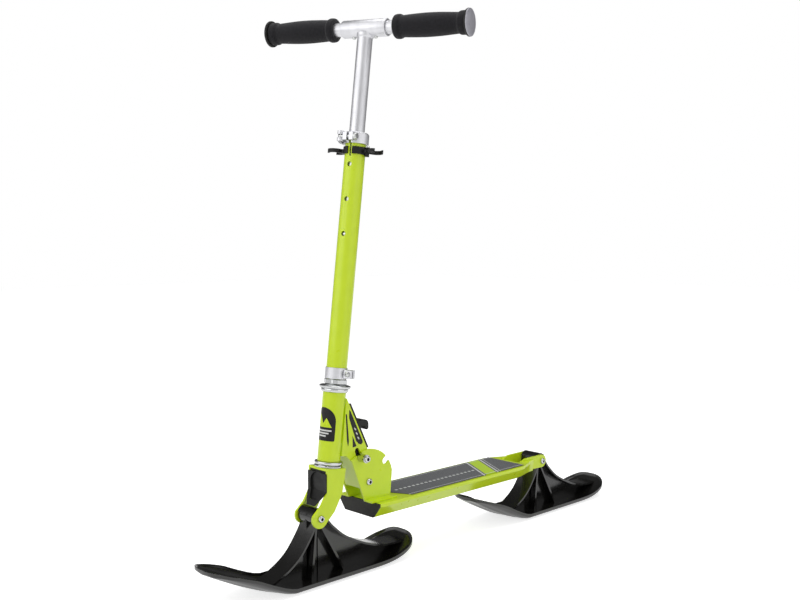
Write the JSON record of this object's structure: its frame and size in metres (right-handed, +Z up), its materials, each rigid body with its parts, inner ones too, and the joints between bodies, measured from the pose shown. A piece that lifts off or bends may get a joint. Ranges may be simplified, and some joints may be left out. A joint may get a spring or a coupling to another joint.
{
  "type": "snow scooter",
  "caption": "Folding kick scooter for snow: flat deck on two hinged plastic skis, steered front ski and a telescopic T handlebar with foam grips.",
  "frame": {"origin": "middle of the footprint on the surface that the skis stand on", "axes": "+Z up, -Y forwards, +X to the rider's left"},
  "size_m": [0.3638, 0.982, 0.9214],
  "materials": {
    "lime_paint": "gloss",
    "satin_silver": "satin",
    "chrome": "polished",
    "zinc_steel": "satin",
    "ski_plastic": "semi-gloss",
    "black_plastic": "satin",
    "grey_plastic": "satin",
    "grip_tape": "gritty matte",
    "foam": "matte foam",
    "bar_end": "metallic satin"
  },
  "bodies": {
    "deck": {"deck_board": "lime_paint", "deck_end_cap": "grey_plastic", "grip_tape": "grip_tape", "rear_arm_left": "lime_paint", "rear_arm_right": "lime_paint", "rear_bolt": "chrome", "rear_nut": "zinc_steel", "hinge_plate_left": "lime_paint", "hinge_plate_right": "lime_paint", "hinge_bolt": "chrome", "hinge_nut": "zinc_steel", "latch_barrel_left": "chrome", "latch_barrel_right": "chrome"},
    "neck": {"head_tube": "lime_paint", "neck_bracket": "lime_paint", "headset_lower_cup": "chrome", "headset_upper_cup": "chrome"},
    "latch": {"release_lever": "black_plastic", "latch_pin": "zinc_steel"},
    "fork": {"fork": "lime_paint", "fork_insert": "black_plastic", "headset_race": "chrome", "headset_cover": "chrome", "headset_locknut": "chrome", "front_bolt": "chrome", "front_nut": "zinc_steel"},
    "front_ski": {"front_ski": "ski_plastic", "front_ski_bush": "zinc_steel"},
    "rear_ski": {"rear_ski": "ski_plastic", "rear_ski_bush": "zinc_steel"},
    "column": {"lower_tube": "lime_paint", "lower_clamp": "satin_silver", "lower_clamp_bolt": "zinc_steel", "height_sleeve": "black_plastic", "height_clamp": "satin_silver", "height_skewer": "zinc_steel", "height_nut": "zinc_steel", "height_lever_pin": "zinc_steel", "clip_bracket": "black_plastic", "clip_screw": "zinc_steel"},
    "height_lever": {"height_lever": "satin_silver"},
    "stem": {"height_stem": "satin_silver"},
    "height_button": {"height_button": "zinc_steel"},
    "handle_left": {"handle_tube_left": "satin_silver", "grip_left": "foam", "bar_end_left": "bar_end"},
    "handle_right": {"handle_tube_right": "satin_silver", "grip_right": "foam", "bar_end_right": "bar_end"},
    "handle_button_left": {"handle_button_left": "zinc_steel"},
    "handle_button_right": {"handle_button_right": "zinc_steel"}
  },
  "joints": [
    {"name": "fold", "type": "hinge", "parent": "deck", "child": "neck", "pos_m": [0, -0.18, 0.1423], "axis": [-1, 0, 0], "range_deg": [0, 74.6]},
    {"name": "latch_release", "type": "slide", "parent": "neck", "child": "latch", "axis": [0, -0.3362, 0.9418], "range_m": [0, 0.012], "stiffness_N_per_m": 400, "springref_m": -0.005},
    {"name": "steering", "type": "hinge", "parent": "neck", "child": "fork", "pos_m": [0, -0.2489, 0.1761], "axis": [0, 0.1179, 0.993], "range_deg": [-60, 60]},
    {"name": "front_ski_pitch", "type": "hinge", "parent": "fork", "child": "front_ski", "pos_m": [0, -0.2848, 0.101], "axis": [-1, 0, 0], "range_deg": [-11, 20]},
    {"name": "rear_ski_pitch", "type": "hinge", "parent": "deck", "child": "rear_ski", "pos_m": [0, 0.2879, 0.101], "axis": [-1, 0, 0], "range_deg": [-25, 3.5]},
    {"name": "column_turn", "type": "hinge", "parent": "fork", "child": "column", "pos_m": [0, -0.2489, 0.1761], "axis": [0, 0.1179, 0.993], "range_deg": [-50, 50]},
    {"name": "bar_height", "type": "slide", "parent": "column", "child": "stem", "axis": [0, 0.1179, 0.993], "range_m": [-0.13, 0.114]},
    {"name": "height_clamp_lever", "type": "hinge", "parent": "column", "child": "height_lever", "pos_m": [-0.00577, -0.21452, 0.71329], "axis": [0, 0.1179, 0.993], "range_deg": [0, 120]},
    {"name": "height_button_press", "type": "slide", "parent": "stem", "child": "height_button", "axis": [-0.342, 0.9331, -0.1108], "range_m": [0, 0.0025], "stiffness_N_per_m": 600, "springref_m": -0.002},
    {"name": "handle_pull_left", "type": "slide", "parent": "stem", "child": "handle_left", "axis": [0.9397, 0.3396, -0.0403], "range_m": [0, 0.07]},
    {"name": "handle_pull_right", "type": "slide", "parent": "stem", "child": "handle_right", "axis": [-0.9397, -0.3396, 0.0403], "range_m": [0, 0.07]},
    {"name": "handle_button_press_left", "type": "slide", "parent": "stem", "child": "handle_button_left", "axis": [0, 0.1179, 0.993], "range_m": [0, 0.0025], "stiffness_N_per_m": 600, "springref_m": -0.002},
    {"name": "handle_button_press_right", "type": "slide", "parent": "stem", "child": "handle_button_right", "axis": [0, 0.1179, 0.993], "range_m": [0, 0.0025], "stiffness_N_per_m": 600, "springref_m": -0.002}
  ]
}
